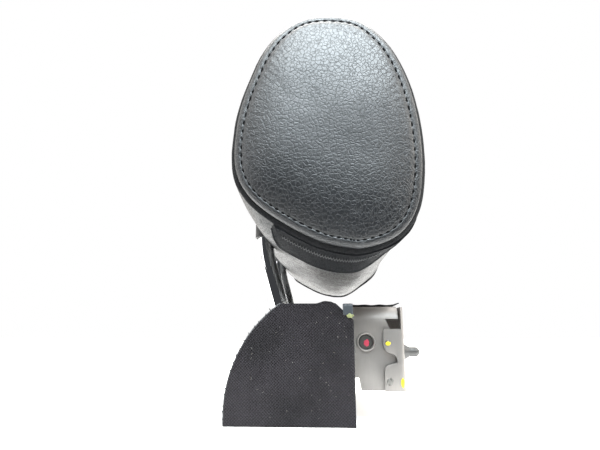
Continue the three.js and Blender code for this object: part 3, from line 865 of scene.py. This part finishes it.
def makePosts():
    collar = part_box("post_collar_near")
    kneeX, kneeZ = posts["knee"]
    innerZ = collar[1].z / mm + posts["kneeAboveCollar"]
    crossZ = innerZ + posts["crossbarRise"]
    crossX = kneeX + posts["crossbarRise"] * tan(radians(posts["innerLean"]))
    lean = radians(posts["lean"])
    foot = posts["footAboveTube"]
    tubeX = kneeX + (kneeZ - posts["tube"]) * tan(lean)
    leg = [(tubeX - foot * sin(lean), posts["tube"] + foot * cos(lean)), (kneeX, kneeZ),
           (kneeX, innerZ), (crossX, crossZ)]
    corners = [(x, -posts["half"], z) for x, z in leg] + [(x, posts["half"], z) for x, z in reversed(leg)]
    path = roundedPath(corners, posts["bends"] + posts["bends"][::-1])
    obj = makePiece("chrome_posts", *tubeMesh(path, posts["radius"], 40), "chrome", sharp=50)
    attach(obj, "head")
    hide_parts("post_rod")


makePosts()
print("posts made")


cover = {
    "centre": (-36.7, -39.1), "radius": 87.4,
    "top": 32.5, "bottom": -47.0, "front": -36.5,
    "cornerX": 12.0, "cornerZ": 11.3,
    "margin": 0.15,  # the cloth ends this far inside its plate
    "skinInner": 93.75, "skinOuter": 94.5,
    "columns": 190, "rows": 170,
    "ridge": 2.9, "ridgeHeight": 0.08,
    "frayTop": (0.35, 0.35), "frayBottom": (0.25, 0.5),
    "sag": (0.22, 0.05),
    "edgeFall": 0.55, "edgeWidth": 0.7,
    "turned": 0.28,  # the cloth turned over at the front edge
    "bump": (-55.0, 1.6, 5.0),  # where the cloth is bunched at the top: place, height, half width
    "lip": 93.0, "lipRadius": 0.75, "lipSteps": 120,
    "barbs": 17, "barbLength": (0.9, 2.3), "barbRadius": 0.62, "barbFoot": 1.0,
    "lint": 46, "lintLength": (0.5, 1.5), "lintX": (-112, -40), "lintZ": (-43, 26),
}


def coverTopAt(x, margin):
    # height of the plate's upper edge at x
    cx, cz = cover["centre"]
    radius = cover["radius"] - margin
    arc = cz + sqrt(max(radius ** 2 - (x - cx) ** 2, 0.0))
    top = min(arc, cover["top"] - margin)
    front = cover["front"] - margin
    cut = front - cover["cornerX"]
    if x > cut:
        top = min(top, cover["top"] - margin - (x - cut) / cover["cornerX"] * cover["cornerZ"])
    place, height, width = cover["bump"]
    return top + height * exp(-((x - place) / width) ** 4)


def clothRidge(x, z):
    u = sin(pi * (x + z) / (cover["ridge"] * sqrt(2)))
    v = sin(pi * (x - z) / (cover["ridge"] * sqrt(2)))
    return abs(u) if u * v > 0 else abs(v)


def makeSkin(side, label):
    margin = cover["margin"]
    cx, cz = cover["centre"]
    bottom = cover["bottom"] + margin
    front = cover["front"] - margin
    back = cx - sqrt((cover["radius"] - margin) ** 2 - (cz - bottom) ** 2)
    columns, rows = cover["columns"], cover["rows"]
    seed = 3.0 if side < 0 else 11.0
    outer, inner = [], []
    for c in range(columns):
        x = back + (front - back) * c / (columns - 1)
        high = coverTopAt(x, margin) + wave((*cover["frayTop"], seed), x, 0, 0)
        low = bottom + wave((*cover["frayBottom"], seed), x, 0, 9)
        for r in range(rows):
            z = low + (high - low) * r / (rows - 1)
            edge = max(min(z - low, high - z, x - back + 0.2, front - x + 0.05), 0.0)
            fall = cover["edgeFall"] * exp(-edge / cover["edgeWidth"])
            lift = cover["ridgeHeight"] * clothRidge(x, z) + wave((*cover["sag"], seed), x, 0, z)
            lift += cover["turned"] * bell(front - x, 2.2, 1.4)
            outer.append((x, side * (cover["skinOuter"] + lift - fall), z))
            inner.append((x, side * cover["skinInner"], z))
    obj = makePiece("cover_cloth_" + label, outer + inner, sheetFaces(columns, rows), "clothWoven")
    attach(obj, "head")
    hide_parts("side_fabric_" + label)


def arcPoint(angle, radius):
    return (cover["centre"][0] + radius * cos(angle), cover["centre"][1] + radius * sin(angle))


def arcAngles():
    cz = cover["centre"][1]
    start = pi - asin((cover["top"] - cz) / cover["radius"])
    end = pi + asin((cz - cover["bottom"]) / cover["radius"])
    return start, end


def makePlateEdge(side, label):
    # the pale moulded lip that shows past the cloth along the arc
    start, end = arcAngles()
    steps = cover["lipSteps"]
    path, radii = [], []
    for k in range(steps + 1):
        angle = start + (end - start) * k / steps
        x, z = arcPoint(angle, cover["radius"] - 0.15 + 0.18 * wobble(k * 0.2, 0, 0, 1.0, 2.0))
        path.append((x, side * cover["lip"], z))
        radii.append(cover["lipRadius"] + 0.15 * wobble(k * 0.31, 1, 0, 1.0))
    obj = makePiece("cover_lip_" + label, *tubeMesh(path, radii, 12), "plasticPale")
    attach(obj, "head")


def makeBarbs(side, label, dice):
    # loose thread ends of the cloth where it was cut
    start, end = arcAngles()
    radii = [cover["barbRadius"] * (1 - 0.8 * s / 5) for s in range(6)]
    parts = []
    for k in range(cover["barbs"]):
        angle = start + (end - start) * (k + 0.3 + 0.4 * dice.random()) / cover["barbs"]
        length = dice.uniform(*cover["barbLength"]) + cover["barbFoot"]
        lean = angle + dice.uniform(-0.9, 0.3)
        x, z = arcPoint(angle, cover["radius"] - cover["barbFoot"])
        path = []
        for s in range(6):
            t = s / 5
            bend = lean + 0.1 * t * dice.uniform(-1, 1)
            along, up = cos(bend) * length * t, sin(bend) * length * t
            path.append((x + along, side * (94.0 + 0.3 * t), z + up))
        parts.append(tubeMesh(path, radii, 7))
    obj = makePiece("thread_ends_" + label, *joinMeshes(parts), "plasticBlack")
    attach(obj, "head")


def makeLint(side, label, dice):
    parts = []
    low, high = cover["lintZ"]
    for k in range(cover["lint"]):
        x = dice.uniform(*cover["lintX"])
        limit = coverTopAt(x, 3)
        z = dice.uniform(low, min(high, limit - 3))
        if z > limit:
            continue
        turn = dice.uniform(0, pi)
        half = dice.uniform(*cover["lintLength"]) / 2
        path = [(x + cos(turn) * half * t, side * (cover["skinOuter"] + 0.31 - 0.05 * abs(t)),
                 z + sin(turn) * half * t) for t in (-1, 0, 1)]
        parts.append(tubeMesh(path, (0.05, 0.085, 0.05), 5))
    obj = makePiece("lint_" + label, *joinMeshes(parts), "lint")
    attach(obj, "head")


def softPatch(name, centre, size, side, finish, seed, thick=0.5, lumps=0.3, rows=9, around=36):
    # a low irregular dab on a face that looks along Y
    points = []
    for r in range(rows):
        share = 1 - r / (rows - 1) * 0.97
        lift = thick * sqrt(max(1 - share ** 2, 0.0)) - 0.05
        for a in range(around):
            angle = 2 * pi * a / around
            reach = share * (1 + lumps * wobble(cos(angle), sin(angle), 0, 1.4, seed))
            x = centre[0] + size[0] * reach * cos(angle)
            z = centre[2] + size[1] * reach * sin(angle)
            points.append((x, centre[1] + side * (lift + wave((0.1 * thick, 1.2, seed), x, 0, z)), z))
    return makePiece(name, points, cappedFaces(rows, around), finish)


clip = {
    # round its section: Y, then height over its foot or, where marked, over its top
    "section": [(88.0, 0.6, 0), (90.9, 0.1, 0), (94.2, 0.2, 0), (95.2, 0.9, 0), (95.4, 2.0, 0),
                (95.3, -1.6, 1), (95.0, -0.5, 1), (94.2, 0.1, 1), (90.9, 0.3, 1), (88.0, -0.2, 1)],
    "columns": 14,
    "pinch": 0.5, "pinchWidth": 0.07,
    "soft": (0.1, 0.6, 0.0),
    "glue": (2.5, 1.5), "glueIn": 2.2, "glueUp": 0.2, "glueY": 95.2,
}


def makeClip(side, label):
    # bent tab that holds the cloth at the cut corner
    low, high = (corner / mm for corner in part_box("clip_" + label))
    middle = (low.z + high.z) / 2
    section = [(y, z + (high.z if top else low.z)) for y, z, top in clip["section"]]
    points = []
    for c in range(clip["columns"]):
        share = c / (clip["columns"] - 1)
        x = low.x + (high.x - low.x) * share
        pinch = clip["pinch"] * exp(-min(share, 1 - share) / clip["pinchWidth"])
        for y, z in section:
            height = middle + (z - middle) * (1 - pinch * 0.12) + wave(clip["soft"], x, y, z)
            points.append((x, side * (y - pinch), height))
    faces = cappedFaces(clip["columns"], len(section))
    obj = makePiece("corner_clip_" + label, points, faces, "plasticClip", sharp=40)
    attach(obj, "head")
    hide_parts("clip_" + label)
    place = (high.x - clip["glueIn"], side * clip["glueY"], low.z + clip["glueUp"])
    glue = softPatch("clip_glue_" + label, place, clip["glue"], side, "adhesive", 7.0, 0.8, 0.45)
    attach(glue, "head")


for side, label in ends:
    makeSkin(side, label)
    makePlateEdge(side, label)
    dice = random.Random(41 if side < 0 else 42)
    makeBarbs(side, label, dice)
    makeLint(side, label, dice)
    makeClip(side, label)
    finerCopy("cover_side_" + label, "plasticBlack", "head", 0.3)
finerCopy("cover_panel", "plasticBlack", "head", 0)
panelCloth = finerCopy("cover_panel_fabric", "clothPanel", "head", 0)
print("cover made")


bracket = {
    "strip": {"fromX": -35.5, "toX": -0.4, "half": 61.0, "z": 33.25, "thick": 0.7, "columns": 56, "rows": 90,
              "fray": (0.4, 0.12, 3.0), "curl": 1.3, "soft": (0.28, 0.16, 1.0), "ripple": 0.22},
    "holeLip": {"radius": 6.1, "round": 0.62, "sunk": 0.15, "steps": 64},
    "redMark": {"place": (-26.4, 6.0), "size": (2.1, 2.5), "thick": 0.25},
    # dabs on the near face: finish, place, size, how far out, seed
    "dabs": {
        "upper_weld": ("weldBead", (-11.5, 5.6), (2.3, 2.3), 0.0, -6.5),
        "lower_weld": ("weldBead", (-11.3, -20.4), (2.4, 2.4), 0.0, -6.3),
        "upper_mark": ("paintYellow", (-11.7, 5.3), (1.9, 1.5), 0.35, -6.5),
        "corner_mark": ("paintYellow", (-2.6, -21.0), (1.3, 3.2), 0.0, 2.4),
    },
    "weldLines": {"place": (-11.3, -20.4), "count": 7, "x": (-2.2, 1.8), "z": (-2.4, 2.6), "turn": (0.5, 1.3),
                  "length": (1.4, 3.0), "radii": (0.08, 0.2, 0.26, 0.2, 0.08), "bow": 0.12, "over": 0.16},
}


def makeTopStrip():
    # thin cloth laid along the top, wavy, its front edge curling up
    spec = bracket["strip"]
    columns, rows = spec["columns"], spec["rows"]
    length = spec["toX"] - spec["fromX"]
    top, under = [], []
    for c in range(columns):
        share = c / (columns - 1)
        curl = spec["curl"] * smoothStep(0.86, 1.0, share) ** 1.5
        for r in range(rows):
            y = -spec["half"] + 2 * spec["half"] * r / (rows - 1)
            x = spec["fromX"] + length * share + wave(spec["fray"], share * 9, y, 0)
            z = spec["z"] + curl + wave(spec["soft"], x, y, 0)
            z += spec["ripple"] * sin(x * 0.55 + 0.05 * y)
            top.append((x, y, z + spec["thick"] / 2))
            under.append((x, y, z - spec["thick"] / 2))
    obj = makePiece("top_cloth", top + under, sheetFaces(columns, rows), "clothStrip")
    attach(obj, "bracket")
    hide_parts("top_strip")


def makeMarks():
    # paint marks and weld spots on the near face
    mark = bracket["redMark"]
    x, z = mark["place"]
    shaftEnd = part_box("pivot_shaft")[0].y / mm
    red = softPatch("shaft_mark", (x, shaftEnd, z), mark["size"], -1, "paintRed", 2.0, thick=mark["thick"])
    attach(red, "head")
    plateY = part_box("front_plate")[0].y / mm
    for name, (finish, (x, z), size, out, seed) in bracket["dabs"].items():
        dab = softPatch(name, (x, plateY - out, z), size, -1, finish, seed, thick=0.42, lumps=0.25)
        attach(dab, "bracket")


def makeHoleLip(side, label):
    # the drawn edge of the pivot hole
    spec = bracket["holeLip"]
    low, high = (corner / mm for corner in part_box("pivot_shaft"))
    y = side * (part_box("housing")[1].y / mm - spec["sunk"])
    path = []
    for k in range(spec["steps"]):
        angle = 2 * pi * k / spec["steps"]
        path.append(((low.x + high.x) / 2 + spec["radius"] * cos(angle), y,
                     (low.z + high.z) / 2 + spec["radius"] * sin(angle)))
    obj = makePiece("hole_lip_" + label, *tubeMesh(path, spec["round"], 12, closed=True), "steelSatin")
    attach(obj, "bracket")


def makeWeldLines():
    # short ridges of weld on the lower ear
    spec = bracket["weldLines"]
    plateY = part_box("front_plate")[0].y / mm
    dice = random.Random(5)
    parts = []
    for k in range(spec["count"]):
        x, z = spec["place"][0] + dice.uniform(*spec["x"]), spec["place"][1] + dice.uniform(*spec["z"])
        turn = dice.uniform(*spec["turn"])
        length = dice.uniform(*spec["length"])
        path = []
        for t in range(5):
            angle, along = turn + spec["bow"] * t, length * (t - 2) / 4
            y = plateY - spec["over"] - 0.08 * sin(pi * t / 4)
            path.append((x + cos(angle) * along, y, z + sin(angle) * along))
        parts.append(tubeMesh(path, spec["radii"], 8))
    obj = makePiece("weld_lines", *joinMeshes(parts), "weldBead")
    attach(obj, "bracket")


bracketFinish = {
    "housing": ("steelSatin", 0.35), "front_plate": ("steelSatin", 0.35), "stud": ("studSteel", 0.3),
    "fold_spring": ("steelDark", 0.0), "stop": ("rubber", 0.3),
}
headFinish = {
    "pivot_shaft": ("steelDark", 0.3), "cross_tube": ("steelDark", 0.2), "swing_arm": ("steelDark", 0.25),
    "friction_pack": ("steelDark", 0.2), "standoff": ("plasticBlack", 0.2), "post_socket": ("steelDark", 0.2),
    "post_collar": ("plasticBlack", 0.6),
}
for body, table in (("bracket", bracketFinish), ("head", headFinish)):
    for name, (finish, width) in table.items():  # a name without its side stands for both
        for node in [n for n in (name, name + "_near", name + "_far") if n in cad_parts]:
            if width:
                finerCopy(node, finish, body, width)
                continue
            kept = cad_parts[node]
            kept.data.materials.clear()
            kept.data.materials.append(material(finish))
makeTopStrip()
makeMarks()
makeWeldLines()
for side, label in ends:
    makeHoleLip(side, label)
print("bracket made")
